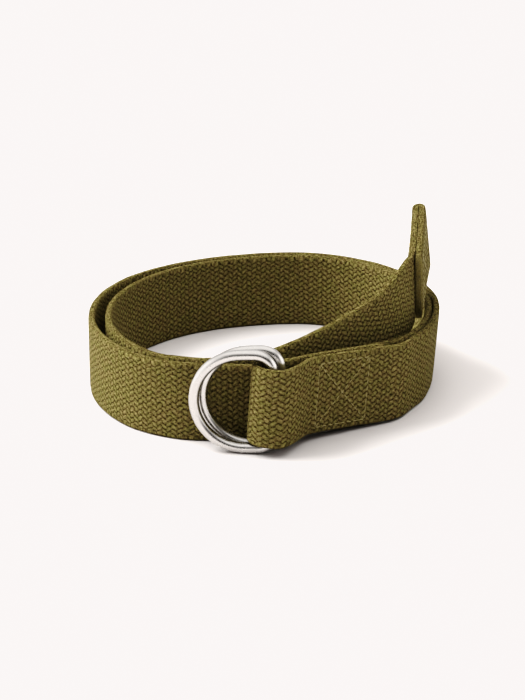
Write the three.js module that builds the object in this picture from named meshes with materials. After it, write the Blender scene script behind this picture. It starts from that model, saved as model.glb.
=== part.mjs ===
// Double ring belt, coiled two turns and standing on the lower edge of its webbing.
// Units are mm, +Z is up, and the rings face -Y.
import * as THREE from 'three';

// Webbing strap
const STRAP_WIDTH = 38;
const STRAP_THICKNESS = 3.4;
const SELVAGE_RADIUS = 1.2;
const LAYER_GAP = 0.3;
const LOOP_SLACK_GAP = 1.3;
const HEM_LENGTH = 40;
const HEM_GAP = 0.2;

// Rings: a half circle on the free side, a straight bar inside the webbing loop
const RING_WIRE = 4.9;
const RING_INNER_HEIGHT = 40.2;
const RING_CORNER_RADIUS = 8.1;
const RING_FLAT = 6.2;
const RING_SPACING = 5.87;
const RING_STAGGER = 3.1;
const RING_TURN_DEG = -7;
const FRONT_RING_LEAN_DEG = 3;
const BACK_RING_LEAN_DEG = 4.5;
const RING_BAR = { x: 5.4, y: -93.1 };

// How the front of the strap rides up on the rings and comes down to the floor
const RIDE_SLOPE = 0.07;
const RIDE_FOOT_X = 74;
const RIDE_BLEND = 16;

// Angles between which the lean of the right side comes in and goes out
const LEAN_STARTS = { from: -70, to: -40 };
const LEAN_FADES = { from: 0, to: 60 };

// Free tail
const TAIL_END_RUN = 40.5;
const TAIL_END_PITCH_DEG = 19;
const TAIL_END_TURN_DEG = 8;
const TAIL_END_LEAN_DEG = 4;

// Facets
const WIRE_SIDES = 14;
const MAX_STEP = 7;
const MAX_TURN_DEG = 6;

const rad = THREE.MathUtils.degToRad;
const PITCH = STRAP_THICKNESS + LAYER_GAP;

// Centre line of the inner turn seen from above, about the middle of the coil.
// Angles run anticlockwise from +X, so -90 is the front, where the rings are.
const GUIDE = [
  { deg: -86, radius: 78.7 },
  { deg: -72, radius: 71.7 },
  { deg: -59, radius: 69.8 },
  { deg: -46, radius: 71.9 },
  { deg: -35, radius: 76.8 },
  { deg: -24, radius: 78.6 },
  { deg: -10, radius: 79.0 },
  { deg: 0, radius: 80.0 },
  { deg: 12, radius: 81.7 },
  { deg: 28, radius: 83.3 },
  { deg: 45, radius: 84.0 },
  { deg: 60, radius: 83.5 },
  { deg: 72, radius: 81.8 },
  { deg: 84, radius: 78.4 },
  { deg: 96, radius: 75.5 },
  { deg: 108, radius: 74.1 },
  { deg: 120, radius: 73.3 },
  { deg: 134, radius: 72.8 },
  { deg: 150, radius: 72.9 },
  { deg: 168, radius: 73.6 },
  { deg: 184, radius: 74.8 },
  { deg: 200, radius: 76.9 },
  { deg: 216, radius: 78.8 },
  { deg: 228, radius: 80.2 },
  { deg: 240, radius: 79.3 },
  { deg: 252, radius: 76.8 },
];

// Extra room between the two turns: the outer turn stands off on the left side.
const OUTER_SLACK = [
  { deg: 55, slack: 0 },
  { deg: 84, slack: 0.7 },
  { deg: 108, slack: 1.0 },
  { deg: 120, slack: 1.4 },
  { deg: 134, slack: 2.6 },
  { deg: 150, slack: 3.9 },
  { deg: 168, slack: 4.5 },
  { deg: 184, slack: 4.5 },
  { deg: 200, slack: 4.0 },
  { deg: 216, slack: 3.6 },
  { deg: 228, slack: 2.8 },
  { deg: 240, slack: 2.0 },
  { deg: 252, slack: 0.9 },
  { deg: 264, slack: 0 },
];

// The tail inside the coil: how far it stands inside the inner turn and how high it has climbed.
const TAIL = [
  { deg: -124, inset: 0, rise: 0 },
  { deg: -108, inset: 0.1, rise: 0.6 },
  { deg: -97, inset: 0.4, rise: 3.0 },
  { deg: -86, inset: 0.7, rise: 5.8 },
  { deg: -66, inset: 1.0, rise: 10.0 },
  { deg: -54, inset: 1.8, rise: 13.4 },
  { deg: -45, inset: 3.2, rise: 16.7 },
  { deg: -35, inset: 5.1, rise: 21.0 },
  { deg: -23, inset: 4.6, rise: 27.0 },
  { deg: -15, inset: 3.5, rise: 30.6 },
  { deg: -10, inset: 2.8, rise: 32.5 },
];

// The loop round both bars, seen from above: along is measured from the front ring's bar to the
// right, out from the plane of the named layer towards the viewer.
const LOOP = [
  { along: 10.9, layer: 'back', out: -7.7 },
  { along: 6.5, layer: 'back', out: -2.9 },
  { along: 2.0, layer: 'back', out: -0.2 },
  { along: -4.5, layer: 'back', out: 0.7 },
  { along: -8.6, layer: 'back', out: 3.6 },
  { along: -10.0, layer: 'front', out: -6.0 },
  { along: -8.2, layer: 'front', out: -2.4 },
  { along: -5.0, layer: 'front', out: -0.2 },
  { along: -0.8, layer: 'front', out: 0.4 },
  { along: 3.2, layer: 'front', out: -0.4 },
  { along: 6.2, layer: 'front', out: -3.5 },
  { along: 8.4, layer: 'front', out: -7.4 },
  { along: 10.4, layer: 'front', out: -11.8 },
  { along: 13.8, layer: 'front', out: -19.8 },
];

// Where the three layers of the front lie against each other, as angles on the guide
const FLAP_END_DEG = -43;
const SEAM_DEG = -69;
const FRONT_LAYER_FROM_DEG = -64;
const STEP_DOWN_DEG = 12;

// Smooth curve through the rows of a table: Hermite pieces with slopes from the neighbours.
function tableValue(table, column, deg) {
  const last = table.length - 1;
  if (deg <= table[0].deg) return table[0][column];
  if (deg >= table[last].deg) return table[last][column];
  let i = 0;
  while (deg > table[i + 1].deg) i += 1;
  const slope = (k) => {
    if (k <= 0 || k >= last) return 0;
    const before = (table[k][column] - table[k - 1][column]) / (table[k].deg - table[k - 1].deg);
    const after = (table[k + 1][column] - table[k][column]) / (table[k + 1].deg - table[k].deg);
    return before * after <= 0 ? 0 : (2 * before * after) / (before + after);
  };
  const span = table[i + 1].deg - table[i].deg;
  const s = (deg - table[i].deg) / span;
  const h00 = (1 + 2 * s) * (1 - s) * (1 - s);
  const h10 = s * (1 - s) * (1 - s);
  const h01 = s * s * (3 - 2 * s);
  const h11 = s * s * (s - 1);
  return h00 * table[i][column] + h10 * span * slope(i)
    + h01 * table[i + 1][column] + h11 * span * slope(i + 1);
}

const guideCurve = new THREE.CatmullRomCurve3(
  GUIDE.map(({ deg, radius }) => new THREE.Vector3(
    radius * Math.cos(rad(deg)), radius * Math.sin(rad(deg)), 0,
  )),
  true,
  'centripetal',
);

// Point and outward normal of the guide at an angle, found by halving on its parameter.
function guideAt(deg) {
  const turn = ((deg - GUIDE[0].deg) % 360 + 360) % 360;
  const angleOf = (t) => {
    const p = guideCurve.getPoint(t);
    const a = THREE.MathUtils.radToDeg(Math.atan2(p.y, p.x)) - GUIDE[0].deg;
    return ((a + 0.001) % 360 + 360) % 360;
  };
  let low = 0;
  let high = 1;
  for (let k = 0; k < 40; k += 1) {
    const mid = (low + high) / 2;
    if (angleOf(mid) < turn) low = mid;
    else high = mid;
  }
  const t = Math.min((low + high) / 2, 0.99999);
  const point = guideCurve.getPoint(t);
  const ahead = guideCurve.getPoint((t + 0.001) % 1);
  const behind = guideCurve.getPoint((t + 0.999) % 1);
  const along = ahead.sub(behind).normalize();
  return { point, normal: new THREE.Vector3(along.y, -along.x, 0) };
}

function offGuide(deg, offset) {
  const { point, normal } = guideAt(deg);
  return point.clone().addScaledVector(normal, offset);
}

const smooth = (a, b, x) => {
  const s = THREE.MathUtils.clamp((x - a) / (b - a), 0, 1);
  return s * s * (3 - 2 * s);
};

// Height of the lower edge where the front rides on the rings
function rideHeight(x) {
  const below = RIDE_FOOT_X - x;
  if (below <= -RIDE_BLEND / 2) return 0;
  if (below >= RIDE_BLEND / 2) return RIDE_SLOPE * below;
  return (RIDE_SLOPE * (below + RIDE_BLEND / 2) ** 2) / (2 * RIDE_BLEND);
}

// Direction of the width where the strap leans to the right: square to the slope of the ride
const leaning = (share) => new THREE.Vector3(RIDE_SLOPE * share, 0, 1).normalize();

// Ring frame: along the ring planes to the right, and out of them towards the viewer
const ringAlong = new THREE.Vector3(Math.cos(rad(RING_TURN_DEG)), Math.sin(rad(RING_TURN_DEG)), 0);
const ringOut = new THREE.Vector3(ringAlong.y, -ringAlong.x, 0);
const frontBar = new THREE.Vector3(RING_BAR.x, RING_BAR.y, 0);
const backBar = frontBar.clone()
  .addScaledVector(ringAlong, RING_STAGGER)
  .addScaledVector(ringOut, -RING_SPACING);
const BAR_CLEAR = RING_WIRE / 2 + LAYER_GAP + STRAP_THICKNESS / 2;

function loopPoint({ along, layer, out }) {
  const plane = layer === 'front' ? BAR_CLEAR : -RING_SPACING - BAR_CLEAR;
  return frontBar.clone().addScaledVector(ringAlong, along).addScaledVector(ringOut, plane + out);
}

// The strap's middle line as points with the direction of its width.
function strapLine() {
  const line = [];
  const flapOffset = PITCH + LOOP_SLACK_GAP - LAYER_GAP;

  // Folded-back layer, round both bars, then the front layer
  const plan = [];
  for (let deg = FLAP_END_DEG; deg > SEAM_DEG; deg -= 4) plan.push(offGuide(deg, flapOffset));
  plan.push(offGuide(SEAM_DEG, flapOffset));
  LOOP.forEach((row) => plan.push(loopPoint(row)));
  let frontDeg = FRONT_LAYER_FROM_DEG;
  for (; frontDeg < FLAP_END_DEG; frontDeg += 4) plan.push(offGuide(frontDeg, flapOffset + PITCH));
  const loopCurve = new THREE.CatmullRomCurve3(plan, false, 'centripetal');
  const loopSteps = 900;
  const ridden = (p) => p.clone().setZ(rideHeight(p.x) + STRAP_WIDTH / 2);
  for (let k = 0; k <= loopSteps; k += 1) {
    line.push({ p: ridden(loopCurve.getPoint(k / loopSteps)), width: leaning(1) });
  }

  // Both turns: the outer one steps down once past the folded-back end and stands off with its
  // slack, then the strap drifts in by one layer behind the rings on each lap.
  const startDeg = frontDeg - 3;
  const tailFromDeg = 720 + TAIL[0].deg;
  const lap = (deg) => smooth(244, 276, deg) + smooth(604, 636, deg);
  for (let deg = startDeg; deg <= tailFromDeg; deg += 1) {
    const step = flapOffset * (1 - smooth(FLAP_END_DEG + 2, FLAP_END_DEG + 2 + STEP_DOWN_DEG, deg));
    const slack = deg < 360 ? tableValue(OUTER_SLACK, 'slack', deg) : 0;
    const p = offGuide(deg, PITCH * (1 - lap(deg)) + slack + (deg < 180 ? step : 0));
    const lean = deg < 180
      ? 1 - smooth(LEAN_FADES.from, LEAN_FADES.to, deg)
      : smooth(LEAN_STARTS.from, LEAN_STARTS.to, deg - 360)
        * (1 - smooth(LEAN_FADES.from, LEAN_FADES.to, deg - 360));
    line.push({ p: deg < 0 ? ridden(p) : p.setZ(STRAP_WIDTH / 2), width: leaning(lean) });
  }

  // Tail: one smooth curve through its rows and on into its straight end
  const tailEnd = TAIL.at(-1);
  const tailPoint = ({ deg, inset, rise }) => offGuide(deg, PITCH * (1 - lap(720 + deg)) - inset)
    .setZ(rise + STRAP_WIDTH / 2);
  const turn = rad(90 - TAIL_END_TURN_DEG);
  const climb = rad(TAIL_END_PITCH_DEG);
  const plain = new THREE.Vector3(Math.cos(turn), Math.sin(turn), 0);
  const ahead = plain.clone().multiplyScalar(Math.cos(climb)).setZ(Math.sin(climb));
  const upright = plain.clone().multiplyScalar(-Math.sin(climb)).setZ(Math.cos(climb));
  const outward = new THREE.Vector3(plain.y, -plain.x, 0);
  const tailStart = tailPoint(tailEnd);
  const endStation = (run, aside) => {
    const lean = rad(TAIL_END_LEAN_DEG * (run / TAIL_END_RUN) ** 2);
    const side = outward.clone().multiplyScalar(Math.cos(lean)).addScaledVector(upright, Math.sin(lean));
    const width = upright.clone().multiplyScalar(Math.cos(lean)).addScaledVector(outward, -Math.sin(lean));
    const p = tailStart.clone().addScaledVector(ahead, run).addScaledVector(side, aside);
    return { p, width, side };
  };
  const tailCurve = new THREE.CatmullRomCurve3([
    line.at(-1).p,
    ...TAIL.slice(1).map(tailPoint),
    endStation(10, 0).p,
    endStation(20, 0).p,
  ], false, 'centripetal');
  const rows = TAIL.length;
  const tailSteps = rows * 16;
  for (let k = 1; k <= tailSteps; k += 1) {
    const t = ((k / tailSteps) * (rows - 1)) / (rows + 1);
    line.push({ p: tailCurve.getPoint(t), width: null });
  }
  for (let run = 2; run < TAIL_END_RUN; run += 1.5) {
    const { p, width } = endStation(run, 0);
    line.push({ p, width });
  }

  // End turned over outwards and laid back against the tail
  const radius = (STRAP_THICKNESS + HEM_GAP) / 2;
  const { side: endSide, width: endWidth } = endStation(TAIL_END_RUN, 0);
  for (let deg = 0; deg <= 180; deg += 15) {
    line.push({
      p: endStation(TAIL_END_RUN, 0).p
        .addScaledVector(endSide, radius * (1 - Math.cos(rad(deg))))
        .addScaledVector(ahead, radius * Math.sin(rad(deg))),
      width: endWidth,
      keep: true,
    });
  }
  for (let back = 2; back <= HEM_LENGTH; back += 2) {
    const { p, width } = endStation(TAIL_END_RUN - back, 2 * radius);
    line.push({ p, width });
  }
  return line;
}

// Keeps the points that the bends need and gives each its directions.
function stations(line) {
  const tangentAt = (i) => line[Math.min(i + 1, line.length - 1)].p.clone()
    .sub(line[Math.max(i - 1, 0)].p).normalize();
  const kept = [];
  let lastPoint = null;
  let lastTangent = null;
  line.forEach((entry, i) => {
    const tangent = tangentAt(i);
    const first = i === 0;
    const last = i === line.length - 1;
    const far = !first && lastPoint.distanceTo(entry.p) >= MAX_STEP;
    const bent = !first && lastTangent.angleTo(tangent) >= rad(MAX_TURN_DEG)
      && lastPoint.distanceTo(entry.p) > 0.4;
    if (!(first || last || far || bent || entry.keep)) return;
    const up = entry.width
      ? entry.width.clone()
      : new THREE.Vector3(-tangent.x * tangent.z, -tangent.y * tangent.z, 1 - tangent.z * tangent.z);
    up.addScaledVector(tangent, -up.dot(tangent)).normalize();
    const out = tangent.clone().cross(up).normalize();
    kept.push({ p: entry.p, up, out });
    lastPoint = entry.p;
    lastTangent = tangent;
  });
  return kept;
}

// Closed surface through rings of points, capped at both ends or joined up.
function sweep(rings, joined) {
  const sides = rings[0].length;
  const positions = rings.flat().flatMap((p) => [p.x, p.y, p.z]);
  const index = [];
  const count = joined ? rings.length : rings.length - 1;
  for (let i = 0; i < count; i += 1) {
    const j = (i + 1) % rings.length;
    for (let k = 0; k < sides; k += 1) {
      const n = (k + 1) % sides;
      index.push(i * sides + k, i * sides + n, j * sides + n);
      index.push(i * sides + k, j * sides + n, j * sides + k);
    }
  }
  if (!joined) {
    const end = (rings.length - 1) * sides;
    for (let k = 1; k < sides - 1; k += 1) {
      index.push(0, k + 1, k);
      index.push(end, end + k, end + k + 1);
    }
  }
  const geometry = new THREE.BufferGeometry();
  geometry.setAttribute('position', new THREE.Float32BufferAttribute(positions, 3));
  geometry.setIndex(index);
  return geometry;
}

// The strap's section: flat faces with rounded selvages, as [across, up] pairs
function strapSection() {
  const halfWidth = STRAP_WIDTH / 2;
  const halfThick = STRAP_THICKNESS / 2;
  const r = Math.min(SELVAGE_RADIUS, halfThick * 0.9);
  const corners = [
    { across: 1, up: 1, from: 0 },
    { across: -1, up: 1, from: 90 },
    { across: -1, up: -1, from: 180 },
    { across: 1, up: -1, from: 270 },
  ];
  return corners.flatMap(({ across, up, from }) => [0, 45, 90].map((deg) => [
    across * (halfThick - r) + r * Math.cos(rad(from + deg)),
    up * (halfWidth - r) + r * Math.sin(rad(from + deg)),
  ]));
}

// No part of the strap sinks below the floor: a leaning stretch is lifted onto its corner.
function webbingGeometry() {
  const section = strapSection();
  const rings = stations(strapLine()).map(({ p, up, out }) => {
    const ring = section.map(([across, height]) => p.clone()
      .addScaledVector(out, across)
      .addScaledVector(up, height));
    const sunk = Math.min(0, ...ring.map(({ z }) => z));
    return ring.map((point) => point.setZ(point.z - sunk));
  });
  return sweep(rings, false);
}

// Outline of a ring's wire centre line in its own plane, anticlockwise from the top
function ringOutline() {
  const half = (RING_INNER_HEIGHT + RING_WIRE) / 2;
  const corner = RING_CORNER_RADIUS;
  const outline = [];
  const arc = (a, b, radius, from, to, steps) => {
    for (let k = 0; k < steps; k += 1) {
      const angle = rad(from + ((to - from) * k) / steps);
      outline.push([a + radius * Math.cos(angle), b + radius * Math.sin(angle)]);
    }
  };
  arc(0, 0, half, 90, 270, 26);
  arc(RING_FLAT, -half + corner, corner, 270, 360, 8);
  arc(RING_FLAT, half - corner, corner, 0, 90, 8);
  outline.splice(26, 0, [0, -half]);
  outline.push([RING_FLAT, half]);
  return outline;
}

function ringGeometry(bar, leanDeg) {
  const lean = rad(leanDeg);
  const barAlong = RING_FLAT + RING_CORNER_RADIUS;
  const turned = ringOutline().map(([a, b]) => [
    a * Math.cos(lean) - b * Math.sin(lean),
    a * Math.sin(lean) + b * Math.cos(lean),
  ]);
  const lowest = Math.min(...turned.map(([, b]) => b));
  const centres = turned.map(([a, b]) => bar.clone()
    .addScaledVector(ringAlong, a - barAlong * Math.cos(lean))
    .setZ(b - lowest + RING_WIRE / 2));
  const rings = centres.map((p, i) => {
    const next = centres[(i + 1) % centres.length];
    const last = centres[(i + centres.length - 1) % centres.length];
    const tangent = next.clone().sub(last).normalize();
    const across = tangent.clone().cross(ringOut).normalize();
    return Array.from({ length: WIRE_SIDES }, (_, k) => {
      const angle = (2 * Math.PI * (k + 0.5)) / WIRE_SIDES;
      return p.clone()
        .addScaledVector(ringOut, (RING_WIRE / 2) * Math.cos(angle))
        .addScaledVector(across, (RING_WIRE / 2) * Math.sin(angle));
    });
  });
  return sweep(rings, true);
}

function facingOut(geometry) {
  const position = geometry.getAttribute('position');
  const index = geometry.getIndex().array;
  let volume = 0;
  const a = new THREE.Vector3();
  const b = new THREE.Vector3();
  const c = new THREE.Vector3();
  for (let i = 0; i < index.length; i += 3) {
    a.fromBufferAttribute(position, index[i]);
    b.fromBufferAttribute(position, index[i + 1]);
    c.fromBufferAttribute(position, index[i + 2]);
    volume += a.dot(b.clone().cross(c));
  }
  if (volume < 0) {
    for (let i = 0; i < index.length; i += 3) [index[i], index[i + 1]] = [index[i + 1], index[i]];
  }
  return geometry;
}

function piece(name, geometry, color, metalness, roughness) {
  const material = new THREE.MeshStandardMaterial({ color, metalness, roughness });
  const mesh = new THREE.Mesh(facingOut(geometry), material);
  mesh.name = name;
  return mesh;
}

const belt = new THREE.Group();
belt.name = 'double_ring_belt';
belt.add(piece('webbing', webbingGeometry(), 0x6b6330, 0, 0.95));
belt.add(piece('front_ring', ringGeometry(frontBar, FRONT_RING_LEAN_DEG), 0xc9c6bf, 1, 0.3));
belt.add(piece('back_ring', ringGeometry(backBar, BACK_RING_LEAN_DEG), 0xc9c6bf, 1, 0.3));

// Stand the belt on z = 0, centred on its own length and depth.
const box = new THREE.Box3().setFromObject(belt, true);
const middle = box.getCenter(new THREE.Vector3());
belt.children.forEach((mesh) => mesh.geometry.translate(-middle.x, -middle.y, -box.min.z));

export default belt;
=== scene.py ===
"""Looks for a belt of olive cotton webbing with two wire rings, coiled and standing on its edge.

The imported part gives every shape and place. The strap's solid is read back as a run of cross
sections, so the woven surface, the stitches and the cut threads all follow the same route.
"""

import math
import random

import bmesh
import bpy
import numpy as np
from mathutils import Matrix, Vector, noise


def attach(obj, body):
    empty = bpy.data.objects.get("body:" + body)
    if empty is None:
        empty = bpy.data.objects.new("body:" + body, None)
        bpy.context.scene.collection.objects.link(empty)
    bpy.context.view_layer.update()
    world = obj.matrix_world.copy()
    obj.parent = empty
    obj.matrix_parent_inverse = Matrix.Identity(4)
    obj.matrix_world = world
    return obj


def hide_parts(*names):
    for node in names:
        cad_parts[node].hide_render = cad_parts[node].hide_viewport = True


bl_info = {
    "name": "Double ring belt",
    "version": (1, 0, 0),
    "blender": (4, 2, 0),
    "location": "View3D > Sidebar > Belt",
    "description": "Woven webbing, stitches, cut threads and wire rings round the packed belt",
    "category": "Object",
}

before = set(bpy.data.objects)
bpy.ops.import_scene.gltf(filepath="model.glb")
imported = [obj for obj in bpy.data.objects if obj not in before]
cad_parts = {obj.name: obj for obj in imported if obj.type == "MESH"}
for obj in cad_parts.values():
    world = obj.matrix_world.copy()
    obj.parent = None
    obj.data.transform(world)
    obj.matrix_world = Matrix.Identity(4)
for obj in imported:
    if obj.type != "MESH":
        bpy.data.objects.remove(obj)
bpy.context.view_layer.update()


def linear(hex_colour):
    """An sRGB colour such as "8a7f4c" as linear RGBA."""
    channels = [int(hex_colour[i:i + 2], 16) / 255 for i in (0, 2, 4)]
    return [c / 12.92 if c <= 0.04045 else ((c + 0.055) / 1.055) ** 2.4 for c in channels] + [1.0]


def srgb(hex_colour):
    """The same colour as RGB for a property."""
    return linear(hex_colour)[:3]


MM = 0.001

# Webbing, in millimetres: one repeat of the weave along and across, the rise of a float over its
# run, and half the size of the bump that a float makes
WEAVE_ALONG = 5.1
WEAVE_ACROSS = 2.8
FLOAT_SLANT = 0.55
BUMP_HALF_LENGTH = 2.0
BUMP_HALF_WIDTH = 1.5

# Distance from the middle, measured round the strap's edge, at which the weave turns to selvage
SELVAGE_FROM = 18.3

# The dye takes unevenly: some yarns are greener and some browner than the rest
DYE_GREENER = (0.96, 1.02, 0.94)
DYE_BROWNER = (1.04, 0.985, 1.06)

# How far the selvages run off true, over which lengths, and how wide the strip is that moves
EDGE_WANDER = 0.12
WANDER_LENGTH = 11.0
FINE_WANDER_LENGTH = 2.4
FINE_WANDER_SHARE = 0.8
WANDER_STRIP = 4.0
WANDER_FADE = 3.0

STRAP_WIDTH = 38.0
SELVAGE_RADIUS = 1.2
FLAT_COLUMNS = 4
SMOOTHING_LEVELS = 2

# Studio: how bright each side of the room is, by the part of the look direction along one axis
ROOM_COLOUR = linear("fffcfa")
CAMERA_SIDE_GLOW = 0.04
SOFT_BOXES = (
    {"axis": "Y", "starts": -0.2, "full": 0.6, "glow": 0.8},
    {"axis": "X", "starts": -0.35, "full": -0.9, "glow": 1.8},
    {"axis": "X", "starts": 0.65, "full": 0.95, "glow": 2.1},
    {"axis": "Z", "starts": 0.4, "full": 0.85, "glow": 1.5},
)

# Wide lamps: the key from the left and a top light. The rings mirror only the room.
WIDE_LAMPS = (
    {"name": "key_softbox", "from": Vector((-0.8, 0.12, 0.85)), "power": 6.3, "width_deg": 42},
    {"name": "top_softbox", "from": Vector((0.0, 0.1, 1.0)), "power": 2.6, "width_deg": 75},
)

# A print is darker than the light in its darkest tones
PRINT_TONE = (
    {"light": 0.02, "print": 0.006},
    {"light": 0.05, "print": 0.022},
    {"light": 0.09, "print": 0.057},
    {"light": 0.15, "print": 0.127},
    {"light": 0.25, "print": 0.245},
)

# The picture's whites stop here, as on a print on warm white paper
PAPER_WHITE = linear("faf6f5")[:3]

# The hem's two layers press together on their facing side, from and to along the strap
PRESSED = {"first": 1204.0, "last": 1292.0, "side": 1, "closes": 0.1}
PRESS_FADE = 5.0

# Angle between faces above which an edge is the rim of a cut end, in degrees
RIM_ANGLE = 65
RIM_CREASE = 0.9

# Edges right across a flat face are longer than this
LONG_EDGE = 20.0

# A diagonal between two sections shifts by more than this across the strap or through it
DIAGONAL_ACROSS = 0.01
DIAGONAL_THROUGH = 0.3

# A diagonal of a flat cut end bends by less than this, in radians
FLAT_ANGLE = 0.01

# Camera: where it aims on the floor, how far away it stands, and its focal length in pixels
AIM = Vector((-0.0012, 0.0466, 0.0))
CAMERA_DISTANCE = 1.119
FOCAL_LENGTH_PX = 2191.0
PHOTO_HEIGHT_PX = 700

FLOOR_HALF_SIZE = 6.0
FLOOR_BELOW = 0.0001


class BeltWebbingSettings(bpy.types.PropertyGroup):
    """Colours and relief of the woven strap."""

    top_colour: bpy.props.FloatVectorProperty(
        name="Yarn tops", description="Colour of the yarn where it stands up",
        subtype="COLOR", size=3, min=0, max=1, default=srgb("857c53"))
    # Painted shade: this dark colour stands in for the shadow down between the yarns, which the
    # shader bump does not cast
    gap_shade_colour: bpy.props.FloatVectorProperty(
        name="Painted gap shade", description="Painted shade down between the yarns",
        subtype="COLOR", size=3, min=0, max=1, default=srgb("352b15"))
    relief: bpy.props.FloatProperty(
        name="Relief", description="Height of a yarn bump", subtype="DISTANCE", unit="LENGTH",
        min=0, max=0.002, default=0.0007)


class BeltStitchSettings(bpy.types.PropertyGroup):
    """Thread of the sewn boxes."""

    colour: bpy.props.FloatVectorProperty(
        name="Thread", description="Colour of the sewing thread",
        subtype="COLOR", size=3, min=0, max=1, default=srgb("958b62"))
    pitch: bpy.props.FloatProperty(
        name="Stitch pitch", description="Distance from one stitch to the next",
        subtype="DISTANCE", unit="LENGTH", min=0.001, max=0.01, default=0.0033)


class BeltRingSettings(bpy.types.PropertyGroup):
    """Finish of the two rings."""

    colour: bpy.props.FloatVectorProperty(
        name="Nickel", description="Colour of the plated wire",
        subtype="COLOR", size=3, min=0, max=1, default=srgb("c5c3c0"))
    roughness: bpy.props.FloatProperty(
        name="Roughness", description="How satin the plating is", min=0, max=1, default=0.28)


class BeltStageSettings(bpy.types.PropertyGroup):
    """Floor and lights."""

    floor_colour: bpy.props.FloatVectorProperty(
        name="Floor", description="Colour of the floor", subtype="COLOR", size=3, min=0, max=1,
        default=srgb("b8b4b2"))
    elevation: bpy.props.FloatProperty(
        name="Camera elevation", description="Angle of the camera above the floor",
        subtype="ANGLE", unit="ROTATION", min=0, max=1.5, default=math.radians(21))


class Nodes:
    """A node tree that is added to one node at a time."""

    def __init__(self, tree):
        self.tree = tree
        tree.nodes.clear()

    def add(self, kind, settings=None, **inputs):
        """Adds a node, sets its properties, and sets or links its inputs.

        An input goes by its name, with _ for a space, or by its number, such as _0.
        """
        node = self.tree.nodes.new(kind)
        for name, value in (settings or {}).items():
            setattr(node, name, value)
        for name, value in inputs.items():
            key = int(name[1:]) if name[0] == "_" else name.replace("_", " ")
            if isinstance(value, bpy.types.NodeSocket):
                self.tree.links.new(value, node.inputs[key])
            else:
                node.inputs[key].default_value = value
        return node


def new_material(name):
    """A material with an empty node tree."""
    material = bpy.data.materials.new(name)
    material.use_nodes = True
    return material, Nodes(material.node_tree)


def weave_height(nodes):
    """Height of the weave, 0 to 1, from the strap's own place attribute in millimetres.

    The floats stand in two sets of columns, half a step apart and slanted opposite ways.
    """
    place = nodes.add("ShaderNodeAttribute", {"attribute_name": "strap_place"}).outputs["Vector"]
    wobble = nodes.add("ShaderNodeTexNoise", Vector=place, Scale=0.35, Detail=2.0)
    shift = nodes.add("ShaderNodeVectorMath", {"operation": "MULTIPLY_ADD"},
                      _0=wobble.outputs["Color"], _1=(1.5, 1.5, 0.0), _2=place)
    axes = nodes.add("ShaderNodeSeparateXYZ", Vector=shift.outputs[0]).outputs
    heights = []
    for column, slant in ((0.0, FLOAT_SLANT), (0.5, -FLOAT_SLANT)):
        step = nodes.add("ShaderNodeMath", {"operation": "MULTIPLY_ADD"},
                         _0=axes["X"], _1=1 / WEAVE_ALONG, _2=column)
        part = nodes.add("ShaderNodeMath", {"operation": "FRACT"}, _0=step.outputs[0])
        off = nodes.add("ShaderNodeMath", {"operation": "MULTIPLY_ADD"},
                        _0=part.outputs[0], _1=WEAVE_ALONG, _2=-WEAVE_ALONG / 2)
        sheared = nodes.add("ShaderNodeMath", {"operation": "MULTIPLY_ADD"},
                            _0=off.outputs[0], _1=slant, _2=axes["Y"])
        row = nodes.add("ShaderNodeMath", {"operation": "MULTIPLY_ADD"},
                        _0=sheared.outputs[0], _1=1 / WEAVE_ACROSS, _2=column)
        within = nodes.add("ShaderNodeMath", {"operation": "FRACT"}, _0=row.outputs[0])
        aside = nodes.add("ShaderNodeMath", {"operation": "MULTIPLY_ADD"},
                          _0=within.outputs[0], _1=WEAVE_ACROSS, _2=-WEAVE_ACROSS / 2)
        cell = nodes.add("ShaderNodeCombineXYZ", X=off.outputs[0], Y=aside.outputs[0])
        scaled = nodes.add("ShaderNodeVectorMath", {"operation": "MULTIPLY"}, _0=cell.outputs[0],
                           _1=(1 / BUMP_HALF_LENGTH, 1 / BUMP_HALF_WIDTH, 0.0))
        squared = nodes.add("ShaderNodeVectorMath", {"operation": "DOT_PRODUCT"},
                            _0=scaled.outputs[0], _1=scaled.outputs[0])
        heights.append(nodes.add("ShaderNodeMath", {"operation": "SUBTRACT", "use_clamp": True},
                                 _0=1.0, _1=squared.outputs["Value"]).outputs[0])
    top = nodes.add("ShaderNodeMath", {"operation": "MAXIMUM"}, _0=heights[0], _1=heights[1])
    across = nodes.add("ShaderNodeSeparateXYZ", Vector=place).outputs["Y"]
    edge = nodes.add("ShaderNodeMath", {"operation": "ABSOLUTE"}, _0=across)
    selvage = nodes.add("ShaderNodeMapRange", {"interpolation_type": "SMOOTHSTEP"},
                        Value=edge.outputs[0], _1=SELVAGE_FROM - 0.5, _2=SELVAGE_FROM + 0.5)
    rows = nodes.add("ShaderNodeVectorMath", {"operation": "MULTIPLY"}, _0=place,
                     _1=(0.7, 1.8, 1.5))
    warp = nodes.add("ShaderNodeTexNoise", Vector=rows.outputs[0], Scale=1.0, Detail=1.0)
    yarn = nodes.add("ShaderNodeMapRange", Value=warp.outputs["Fac"], _1=0.38, _2=0.6,
                     _3=0.15, _4=0.7)
    woven = nodes.add("ShaderNodeMix", {"data_type": "FLOAT"}, Factor=selvage.outputs[0],
                      A=top.outputs[0], B=yarn.outputs[0])
    return place, woven.outputs["Result"]


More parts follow.
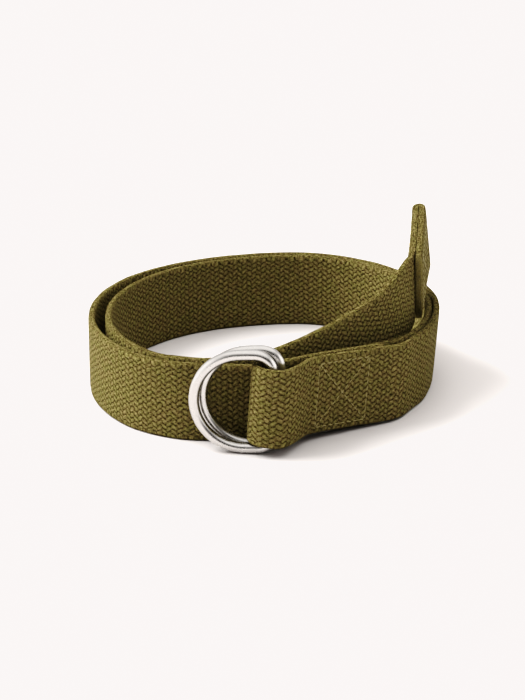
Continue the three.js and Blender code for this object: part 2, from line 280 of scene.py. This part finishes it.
def webbing_material(settings):
    """Cotton webbing, woven from dyed yarn: matt and hairy, with painted shade down between the
    yarns.
    """
    material, nodes = new_material("olive_cotton_webbing")
    place, height = weave_height(nodes)
    fuzz = nodes.add("ShaderNodeTexNoise", Vector=place, Scale=1.2, Detail=3.0, Roughness=0.75)
    worn = nodes.add("ShaderNodeMapRange", Value=fuzz.outputs["Fac"], _1=0.3, _2=0.7,
                     _3=-0.45, _4=0.4)
    rounded = nodes.add("ShaderNodeMath", {"operation": "ADD", "use_clamp": True},
                        _0=height, _1=worn.outputs[0])
    strands = nodes.add("ShaderNodeTexNoise", Vector=place, Scale=1.3, Detail=3.0, Roughness=0.75)
    patches = nodes.add("ShaderNodeTexNoise", Vector=place, Scale=0.3, Detail=3.0,
                        Roughness=0.7)
    # Painted shade: where the weave height is low, the colour goes to the gap shade colour in place
    # of the shadow between the yarns
    colour = nodes.add("ShaderNodeMix", {"data_type": "RGBA"}, Factor=rounded.outputs[0])
    colour.inputs["A"].default_value = [*settings.gap_shade_colour, 1.0]
    colour.inputs["B"].default_value = [*settings.top_colour, 1.0]
    mottle = nodes.add("ShaderNodeMapRange", Value=strands.outputs["Fac"], _1=0.3, _2=0.7,
                       _3=0.55, _4=1.4)
    dye = nodes.add("ShaderNodeMapRange", Value=patches.outputs["Fac"], _1=0.35, _2=0.65)
    dyed = nodes.add("ShaderNodeMix", {"data_type": "VECTOR"}, Factor=dye.outputs[0])
    dyed.inputs["A"].default_value = DYE_GREENER
    dyed.inputs["B"].default_value = DYE_BROWNER
    toned = nodes.add("ShaderNodeVectorMath", {"operation": "MULTIPLY"},
                      _0=colour.outputs["Result"], _1=dyed.outputs["Result"])
    varied = nodes.add("ShaderNodeVectorMath", {"operation": "SCALE"}, _0=toned.outputs[0],
                       Scale=mottle.outputs[0])
    fine = nodes.add("ShaderNodeMath", {"operation": "MULTIPLY_ADD"},
                     _0=strands.outputs["Fac"], _1=0.6, _2=rounded.outputs[0])
    bump = nodes.add("ShaderNodeBump", Strength=1.0, Distance=settings.relief,
                     Height=fine.outputs[0])
    cotton = nodes.add("ShaderNodeBsdfPrincipled", Base_Color=varied.outputs[0], Roughness=0.92,
                       Normal=bump.outputs[0])
    cotton.inputs["Specular IOR Level"].default_value = 0.04
    nodes.add("ShaderNodeOutputMaterial", Surface=cotton.outputs[0])
    return material


def cut_end_material(settings):
    """Webbing cut across: the yarns' ends show as fine dots, a little paler than the faces."""
    material, nodes = new_material("cut_cotton_webbing")
    place = nodes.add("ShaderNodeAttribute", {"attribute_name": "strap_place"}).outputs["Vector"]
    dots = nodes.add("ShaderNodeTexNoise", Vector=place, Scale=1.5, Detail=3.0, Roughness=0.7)
    tint = nodes.add("ShaderNodeMapRange", Value=dots.outputs["Fac"], _1=0.3, _2=0.7,
                     _3=0.6, _4=1.25)
    varied = nodes.add("ShaderNodeVectorMath", {"operation": "SCALE"}, _0=[*settings.top_colour],
                       Scale=tint.outputs[0])
    bump = nodes.add("ShaderNodeBump", Strength=1.0, Distance=settings.relief * 0.5,
                     Height=dots.outputs["Fac"])
    yarn = nodes.add("ShaderNodeBsdfPrincipled", Base_Color=varied.outputs[0], Roughness=0.95,
                     Normal=bump.outputs[0])
    yarn.inputs["Specular IOR Level"].default_value = 0.1
    nodes.add("ShaderNodeOutputMaterial", Surface=yarn.outputs[0])
    return material


def thread_material(name, colour):
    """Spun polyester or cotton thread: a little smoother and paler than the webbing."""
    material, nodes = new_material(name)
    place = nodes.add("ShaderNodeTexCoord").outputs["Object"]
    mottle = nodes.add("ShaderNodeTexNoise", Vector=place, Scale=900.0, Detail=2.0)
    tint = nodes.add("ShaderNodeMapRange", Value=mottle.outputs["Fac"], _1=0.3, _2=0.7,
                     _3=0.8, _4=1.15)
    varied = nodes.add("ShaderNodeVectorMath", {"operation": "SCALE"}, _0=[*colour],
                       Scale=tint.outputs[0])
    thread = nodes.add("ShaderNodeBsdfPrincipled", Base_Color=varied.outputs[0], Roughness=0.75)
    nodes.add("ShaderNodeOutputMaterial", Surface=thread.outputs[0])
    return material


def ring_material(settings):
    """Nickel-plated steel wire, tumbled: bright, with soft reflections and faint handling marks."""
    material, nodes = new_material("satin_nickel_wire")
    place = nodes.add("ShaderNodeTexCoord").outputs["Object"]
    marks = nodes.add("ShaderNodeTexNoise", Vector=place, Scale=160.0, Detail=2.0)
    spread = nodes.add("ShaderNodeMapRange", Value=marks.outputs["Fac"], _1=0.3, _2=0.7,
                       _3=settings.roughness * 0.9, _4=settings.roughness * 1.1)
    nickel = nodes.add("ShaderNodeBsdfPrincipled", Roughness=spread.outputs[0])
    nickel.inputs["Base Color"].default_value = [*settings.colour, 1.0]
    nickel.inputs["Metallic"].default_value = 1.0
    nodes.add("ShaderNodeOutputMaterial", Surface=nickel.outputs[0])
    return material


def merged_copy(node):
    """A CAD node's mesh as a bmesh with its loose triangles joined up."""
    bm = bmesh.new()
    bm.from_mesh(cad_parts[node].data)
    bmesh.ops.remove_doubles(bm, verts=bm.verts, dist=0.01 * MM)
    return bm


def cut_end(bm):
    """The rim of the folded-back end: the lower of the two closed loops of sharp edges."""
    sharp = {e for e in bm.edges if math.degrees(e.calc_face_angle(0.0)) > RIM_ANGLE}
    loops = []
    while sharp:
        loop = set()
        grow = [sharp.pop()]
        while grow:
            edge = grow.pop()
            loop.update(edge.verts)
            near = {e for v in edge.verts for e in v.link_edges if e in sharp}
            sharp -= near
            grow.extend(near)
        loops.append(loop)
    return min(loops, key=lambda loop: sum(v.co.z for v in loop) / len(loop))


def read_sections(bm):
    """Reads the strap's cross sections in order and marks every vertex with its place.

    The place is, in millimetres, the distance along the strap, the distance across it measured
    round the selvage, and the side of the middle layer that the vertex is on.
    """
    place = bm.verts.layers.float_vector.new("strap_place")
    rings = [cut_end(bm)]
    seen = set(rings[0])
    while True:
        ring = {e.other_vert(v) for v in rings[-1] for e in v.link_edges} - seen
        if not ring:
            break
        seen |= ring
        rings.append(ring)
    centres = [np.mean([v.co for v in ring], axis=0) for ring in rings]
    ups = []
    for ring, centre in zip(rings, centres):
        offsets = np.array([v.co for v in ring]) - centre
        up = np.linalg.svd(offsets)[2][0]
        ups.append(up * math.copysign(1.0, up[2]))
    tangents = np.gradient(np.array(centres), axis=0)
    outs = np.cross(tangents, ups)
    outs /= np.linalg.norm(outs, axis=1)[:, None]
    steps = np.linalg.norm(np.diff(centres, axis=0), axis=1)
    along = np.concatenate([[0.0], np.cumsum(steps)])

    first = np.array([v.co for v in rings[0]]) - centres[0]
    levels = sorted({round(abs(float(offset @ ups[0])) / MM, 2) for offset in first})
    flat, rounding = levels[0], levels[-1] - levels[0]
    marks = [(level, flat + rounding * math.pi / 2 * k / (len(levels) - 1))
             for k, level in enumerate(levels)]
    for k, ring in enumerate(rings):
        for v in ring:
            offset = (np.array(v.co) - centres[k]) / MM
            height = float(offset @ ups[k])
            across = min(marks, key=lambda mark: abs(mark[0] - abs(height)))[1]
            side = float(offset @ outs[k])
            v[place] = (along[k] / MM, math.copysign(across, height), side)
    route = {
        "along": along / MM,
        "centre": np.array(centres),
        "up": np.array(ups),
        "out": outs,
        "half_thickness": max(v[place][2] for v in rings[0]) * MM,
    }
    return rings, place, route


def between(route, along):
    """The strap's middle and its directions across and out, between two sections."""
    return [np.array([np.interp(along, route["along"], route[name][:, axis]) for axis in range(3)])
            for name in ("centre", "up", "out")]


def point_on(route, along, across, side):
    """A place on the strap's face, with the directions along, across and out of it."""
    centre, up, out = between(route, along)
    ahead = np.cross(up, out)
    position = centre + up * across * MM + out * side * route["half_thickness"]
    return Vector(position), Vector(ahead).normalized(), Vector(up).normalized(), \
        Vector(out * side).normalized()


def strap_bmesh():
    """The strap as clean quads, with columns across its flat faces and its cut ends kept sharp."""
    bm = merged_copy("webbing")
    rings, place, route = read_sections(bm)
    level = {v: k for k, ring in enumerate(rings) for v in ring}
    last = len(rings) - 1
    diagonals = []
    for edge in bm.edges:
        a, b = edge.verts
        if level[a] == level[b]:
            flat_cap = level[a] in (0, last) and edge.calc_face_angle(0.0) < FLAT_ANGLE
            if flat_cap and not any(level[v] != level[a] for f in edge.link_faces for v in f.verts):
                diagonals.append(edge)
            continue
        across, through = abs(a[place].y - b[place].y), abs(a[place].z - b[place].z)
        if across > DIAGONAL_ACROSS or through > DIAGONAL_THROUGH:
            diagonals.append(edge)
    bmesh.ops.dissolve_edges(bm, edges=diagonals, use_verts=False)
    ends = {round(v[place].x, 3) for ring in (rings[0], rings[last]) for v in ring if v.is_valid}
    for face in bm.faces:
        if all(round(v[place].x, 3) in ends for v in face.verts):
            face.material_index = 1
    crease = bm.edges.layers.float.get("crease_edge") or bm.edges.layers.float.new("crease_edge")
    for edge in bm.edges:
        if math.degrees(edge.calc_face_angle(0.0)) > RIM_ANGLE:
            edge[crease] = RIM_CREASE
    wide = [e for e in bm.edges if abs(e.verts[0][place].y - e.verts[1][place].y) > LONG_EDGE]
    bmesh.ops.subdivide_edges(bm, edges=wide, cuts=FLAT_COLUMNS, use_grid_fill=True)
    return bm, route


def add_piece(name, bm, material, slot, *replaced):
    """Makes an object of a bmesh, in place, riding with the belt."""
    mesh = bpy.data.meshes.new(name)
    bm.to_mesh(mesh)
    bm.free()
    mesh.materials.append(material)
    mesh.shade_smooth()
    piece = bpy.data.objects.new(name, mesh)
    bpy.context.collection.objects.link(piece)
    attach(piece, "root")
    if replaced:
        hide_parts(*replaced)
    return piece


def subdivided(bm, name, levels):
    """The bmesh with a subdivision surface applied."""
    mesh = bpy.data.meshes.new(name)
    bm.to_mesh(mesh)
    bm.free()
    holder = bpy.data.objects.new(name, mesh)
    bpy.context.collection.objects.link(holder)
    smoothing = holder.modifiers.new("rounding", "SUBSURF")
    smoothing.levels = levels
    smoothing.render_levels = levels
    smoothing.use_limit_surface = False
    graph = bpy.context.evaluated_depsgraph_get()
    finished = bpy.data.meshes.new_from_object(holder.evaluated_get(graph))
    bpy.data.objects.remove(holder)
    smooth = bmesh.new()
    smooth.from_mesh(finished)
    return smooth


def wander(bm):
    """Lets the selvages run a little uneven, as woven edges do, but not below the floor."""
    place = bm.verts.layers.float_vector["strap_place"]
    bm.normal_update()
    flat = max(v[place].y for v in bm.verts) - WANDER_STRIP
    for v in bm.verts:
        along, across, side = v[place]
        edge = min(1.0, max(0.0, (abs(across) - flat) / WANDER_FADE))
        if edge == 0.0:
            continue
        # The sign takes the two selvages' noise from rows far apart
        slow = Vector((along / WANDER_LENGTH, math.copysign(7.0, across), 0.0))
        fine = Vector((along / FINE_WANDER_LENGTH, math.copysign(3.0, across), side))
        amount = (noise.noise(slow) + noise.noise(fine) * FINE_WANDER_SHARE) * EDGE_WANDER
        v.co += v.normal * (min(amount, EDGE_WANDER) * edge * MM)
        v.co.z = max(v.co.z, 0.0)


def press(bm, route, span):
    """Squares the selvages where sewn layers press together, which closes the groove."""
    height_from = STRAP_WIDTH / 2 - SELVAGE_RADIUS
    side_from = route["half_thickness"] / MM - SELVAGE_RADIUS
    place = bm.verts.layers.float_vector["strap_place"]
    for v in bm.verts:
        along = v[place].x
        inside = min(along - span["first"], span["last"] - along)
        if inside <= 0:
            continue
        centre, up, out = (Vector(part) for part in between(route, along))
        up, out = up.normalized(), span["side"] * out.normalized()
        offset = (v.co - centre) / MM
        over = (abs(offset.dot(up)) - height_from) / SELVAGE_RADIUS
        beside = (offset.dot(out) - side_from) / SELVAGE_RADIUS
        if over <= 0 or beside <= 0:
            continue
        share = min(1.0, inside / PRESS_FADE)
        grown = (math.hypot(over, beside) / max(over, beside) - 1) * share * SELVAGE_RADIUS
        push = out * beside * grown + up * math.copysign(over, offset.dot(up)) * grown
        v.co += (push + out * span["closes"] * share) * MM


class BELT_OT_webbing(bpy.types.Operator):
    """Builds the woven strap over its CAD solid"""

    bl_idname = "belt.webbing"
    bl_label = "Webbing"

    def execute(self, context):
        bm, route = strap_bmesh()
        smooth = subdivided(bm, "webbing_base", SMOOTHING_LEVELS)
        wander(smooth)
        press(smooth, route, PRESSED)
        settings = context.scene.belt_webbing
        piece = add_piece("woven_webbing", smooth, webbing_material(settings), "webbing",
                          "webbing")
        piece.data.materials.append(cut_end_material(settings))
        return {"FINISHED"}


def add_stitch(bm, start, end, out, thickness):
    """One stitch: a short thread that dips into the cloth at both ends."""
    middle = (start + end) / 2
    ahead = (end - start).normalized()
    aside = out.cross(ahead).normalized()
    made = bmesh.ops.create_icosphere(bm, subdivisions=2, radius=1.0)["verts"]
    shape = Matrix((ahead, aside, out)).transposed().to_4x4()
    size = Matrix.Diagonal(((end - start).length * 0.5, thickness * 0.5, thickness * 0.42, 1.0))
    bmesh.ops.transform(bm, verts=made, matrix=Matrix.Translation(middle) @ shape @ size)


def sew(bm, route, path, side, pitch, thickness):
    """Stitches along straight runs between places given as (along, across)."""
    for (u0, v0), (u1, v1) in zip(path, path[1:]):
        length = math.hypot(u1 - u0, v1 - v0)
        count = max(1, round(length / (pitch / MM)))
        for k in range(count):
            ends = []
            for share in ((k + STITCH_STARTS) / count, (k + STITCH_ENDS) / count):
                position, _, _, out = point_on(
                    route, u0 + (u1 - u0) * share, v0 + (v1 - v0) * share, side)
                ends.append(position + out * thickness * STITCH_STANDS_OUT)
            add_stitch(bm, ends[0], ends[1], out, thickness)


# Sewn boxes with a cross in them: from and to along the strap, half width, and the strap's side
SEWN_BOXES = (
    {"name": "loop_stitches", "first": 115.5, "last": 143.0, "half": 15.6, "side": 1},
    {"name": "hem_stitches", "first": 1210.0, "last": 1238.0, "half": 15.6, "side": -1},
    {"name": "hem_back_stitches", "first": 1258.5, "last": 1286.5, "half": 15.6, "side": -1},
)
THREAD_THICKNESS = 0.45

# Each stitch runs over this part of its pitch, and stands out of the cloth by this much of itself
STITCH_STARTS = 0.12
STITCH_ENDS = 0.88
STITCH_STANDS_OUT = 0.12

# Cut threads at one end, and how far from the strap's middle they start, in millimetres and in
# parts of half its thickness
THREADS_PER_END = 170
THREADS_TO_EDGE = 18.2
THREADS_TO_FACE = 0.85
THREAD_SEED = 5

# Lengths and thicknesses of cut threads in millimetres, how far they stray across and out, and how
# much they bend over
FIBRE_LENGTH = (0.5, 1.25)
FIBRE_THICKNESS = (0.22, 0.42)
STRAY_ACROSS = 0.5
STRAY_OUT = 0.3
FIBRE_BEND = 0.35

# The middle of a cut thread is this part of its length out of the cloth, so its root is inside
FIBRE_MIDDLE = 0.4


class BELT_OT_stitches(bpy.types.Operator):
    """Sews the crossed boxes that hold the loop and the hem"""

    bl_idname = "belt.stitches"
    bl_label = "Stitches"

    def execute(self, context):
        settings = context.scene.belt_stitches
        source, route = strap_bmesh()
        source.free()
        material = thread_material("sewing_thread", settings.colour)
        for box in SEWN_BOXES:
            bm = bmesh.new()
            first, last, half = box["first"], box["last"], box["half"]
            corners = [(first, -half), (last, -half), (last, half), (first, half)]
            path = [*corners, corners[0], corners[2], corners[1], corners[3]]
            sew(bm, route, path, box["side"], settings.pitch, THREAD_THICKNESS * MM)
            add_piece(box["name"], bm, material, "webbing")
        return {"FINISHED"}


def add_fibre(bm, root, direction, length, thickness, bend):
    """One cut thread: a thin tapering hair that bends over."""
    made = bmesh.ops.create_cone(bm, cap_ends=True, segments=4, radius1=thickness / 2,
                                 radius2=thickness / 5, depth=length)["verts"]
    turn = direction.to_track_quat("Z", "Y").to_matrix().to_4x4()
    place = Matrix.Translation(root + direction * length * FIBRE_MIDDLE)
    bmesh.ops.transform(bm, verts=made, matrix=place @ turn)
    for v in made:
        reach = (v.co - root).dot(direction) / length
        v.co += bend * max(0.0, reach) ** 2


class BELT_OT_cut_threads(bpy.types.Operator):
    """Frays the two cut ends of the strap"""

    bl_idname = "belt.cut_threads"
    bl_label = "Cut threads"

    def execute(self, context):
        source, route = strap_bmesh()
        source.free()
        settings = context.scene.belt_webbing
        material = thread_material("cut_yarn", settings.top_colour)
        ends = (
            {"name": "folded_end_threads", "along": 0.0, "way": -1.0},
            {"name": "hem_end_threads", "along": float(route["along"][-1]), "way": 1.0},
        )
        draw = random.Random(THREAD_SEED)
        for end in ends:
            bm = bmesh.new()
            for _ in range(THREADS_PER_END):
                across = draw.uniform(-THREADS_TO_EDGE, THREADS_TO_EDGE)
                depth = draw.uniform(-THREADS_TO_FACE, THREADS_TO_FACE)
                root, ahead, up, out = point_on(route, end["along"], across, depth)
                facing = ahead * end["way"]
                aim = (facing + up * draw.uniform(-STRAY_ACROSS, STRAY_ACROSS)
                       + out * draw.uniform(-STRAY_OUT, STRAY_OUT)).normalized()
                bend = (up * draw.uniform(-1, 1)
                        + out * draw.uniform(-STRAY_OUT, STRAY_OUT)) * FIBRE_BEND * MM
                add_fibre(bm, root, aim, draw.uniform(*FIBRE_LENGTH) * MM,
                          draw.uniform(*FIBRE_THICKNESS) * MM, bend)
            add_piece(end["name"], bm, material, "webbing")
        return {"FINISHED"}


# A subdivision surface draws in the wire's facets by this much
WIRE_DRAWN_IN = 0.08

# Two triangles of the wire join to a quad when they bend less than this, in radians
JOIN_FACE_ANGLE = 0.35
JOIN_SHAPE_ANGLE = 0.7


class BELT_OT_rings(bpy.types.Operator):
    """Rounds and plates the two wire rings"""

    bl_idname = "belt.rings"
    bl_label = "Rings"

    def execute(self, context):
        material = ring_material(context.scene.belt_rings)
        for node in ("front_ring", "back_ring"):
            bm = merged_copy(node)
            bmesh.ops.join_triangles(bm, faces=bm.faces, angle_face_threshold=JOIN_FACE_ANGLE,
                                     angle_shape_threshold=JOIN_SHAPE_ANGLE)
            smooth = subdivided(bm, node + "_base", SMOOTHING_LEVELS)
            smooth.normal_update()
            for v in smooth.verts:
                v.co += v.normal * WIRE_DRAWN_IN * MM
            add_piece(node + "_wire", smooth, material, "ring", node)
        return {"FINISHED"}


def light_studio(scene):
    """White studio, dark on the camera's side, with the print's whites and dark tones."""
    world = bpy.data.worlds.new("soft_studio")
    scene.world = world
    world.use_nodes = True
    sky = Nodes(world.node_tree)
    toward = sky.add("ShaderNodeTexCoord").outputs["Generated"]
    axes = sky.add("ShaderNodeSeparateXYZ", Vector=toward).outputs
    level = None
    for box in SOFT_BOXES:
        glow = sky.add("ShaderNodeMapRange", {"interpolation_type": "SMOOTHSTEP"},
                       Value=axes[box["axis"]], _1=box["starts"], _2=box["full"],
                       _3=CAMERA_SIDE_GLOW, _4=box["glow"]).outputs[0]
        if level is None:
            level = glow
        else:
            level = sky.add("ShaderNodeMath", {"operation": "MAXIMUM"},
                            _0=level, _1=glow).outputs[0]
    backdrop = sky.add("ShaderNodeBackground", Color=ROOM_COLOUR, Strength=level)
    sky.add("ShaderNodeOutputWorld", Surface=backdrop.outputs[0])

    for box in WIDE_LAMPS:
        lamp = bpy.data.lights.new(box["name"], "SUN")
        lamp.energy = box["power"]
        lamp.angle = math.radians(box["width_deg"])
        light = bpy.data.objects.new(box["name"], lamp)
        light.rotation_euler = (-box["from"]).to_track_quat("-Z", "Y").to_euler()
        light.visible_glossy = False
        bpy.context.collection.objects.link(light)
    view = scene.view_settings
    view.view_transform = "Standard"
    view.use_curve_mapping = True
    view.curve_mapping.extend = "HORIZONTAL"
    *channels, tone = view.curve_mapping.curves
    for curve, white in zip(channels, PAPER_WHITE):
        curve.points[1].location = (white, white)
    for step in PRINT_TONE:
        tone.points.new(step["light"], step["print"])
    view.curve_mapping.update()


class BELT_OT_stage(bpy.types.Operator):
    """Adds the floor, the studio light and the camera"""

    bl_idname = "belt.stage"
    bl_label = "Stage"

    def execute(self, context):
        settings = context.scene.belt_stage
        bm = bmesh.new()
        bmesh.ops.create_grid(bm, x_segments=1, y_segments=1, size=FLOOR_HALF_SIZE)
        bmesh.ops.translate(bm, verts=bm.verts, vec=(0.0, 0.0, -FLOOR_BELOW))
        mesh = bpy.data.meshes.new("floor")
        bm.to_mesh(mesh)
        bm.free()
        material, nodes = new_material("white_paper_floor")
        paper = nodes.add("ShaderNodeBsdfPrincipled", Roughness=0.85)
        paper.inputs["Base Color"].default_value = [*settings.floor_colour, 1.0]
        paper.inputs["Specular IOR Level"].default_value = 0.15
        nodes.add("ShaderNodeOutputMaterial", Surface=paper.outputs[0])
        mesh.materials.append(material)
        floor = bpy.data.objects.new("floor", mesh)
        context.collection.objects.link(floor)

        light_studio(context.scene)

        lens = bpy.data.cameras.new("photo_camera")
        lens.lens = lens.sensor_width * FOCAL_LENGTH_PX / PHOTO_HEIGHT_PX
        camera = bpy.data.objects.new("photo_camera", lens)
        back = Vector((0.0, -math.cos(settings.elevation), math.sin(settings.elevation)))
        camera.location = AIM + back * CAMERA_DISTANCE
        camera.rotation_euler = (-back).to_track_quat("-Z", "Y").to_euler()
        context.collection.objects.link(camera)
        context.scene.camera = camera
        return {"FINISHED"}


class BELT_PT_panel(bpy.types.Panel):
    """Lists the belt's builders in the sidebar"""

    bl_idname = "BELT_PT_panel"
    bl_label = "Double ring belt"
    bl_space_type = "VIEW_3D"
    bl_region_type = "UI"
    bl_category = "Belt"

    def draw(self, context):
        for group, names in PANEL_ROWS:
            settings = getattr(context.scene, group)
            for name in names:
                self.layout.prop(settings, name)
        for operator in OPERATORS:
            self.layout.operator(operator.bl_idname)


PANEL_ROWS = (
    ("belt_webbing", ("top_colour", "gap_shade_colour", "relief")),
    ("belt_stitches", ("colour", "pitch")),
    ("belt_rings", ("colour", "roughness")),
    ("belt_stage", ("floor_colour", "elevation")),
)
SETTINGS = {
    "belt_webbing": BeltWebbingSettings,
    "belt_stitches": BeltStitchSettings,
    "belt_rings": BeltRingSettings,
    "belt_stage": BeltStageSettings,
}
OPERATORS = (
    BELT_OT_stage, BELT_OT_webbing, BELT_OT_stitches, BELT_OT_cut_threads, BELT_OT_rings,
)


def register():
    for cls in (*SETTINGS.values(), *OPERATORS, BELT_PT_panel):
        bpy.utils.register_class(cls)
    for name, cls in SETTINGS.items():
        setattr(bpy.types.Scene, name, bpy.props.PointerProperty(type=cls))


def unregister():
    for name in SETTINGS:
        delattr(bpy.types.Scene, name)
    for cls in reversed((*SETTINGS.values(), *OPERATORS, BELT_PT_panel)):
        bpy.utils.unregister_class(cls)


def main():
    register()
    bpy.ops.belt.stage()
    bpy.ops.belt.webbing()
    bpy.ops.belt.stitches()
    bpy.ops.belt.cut_threads()
    bpy.ops.belt.rings()


if __name__ == "__main__":
    main()
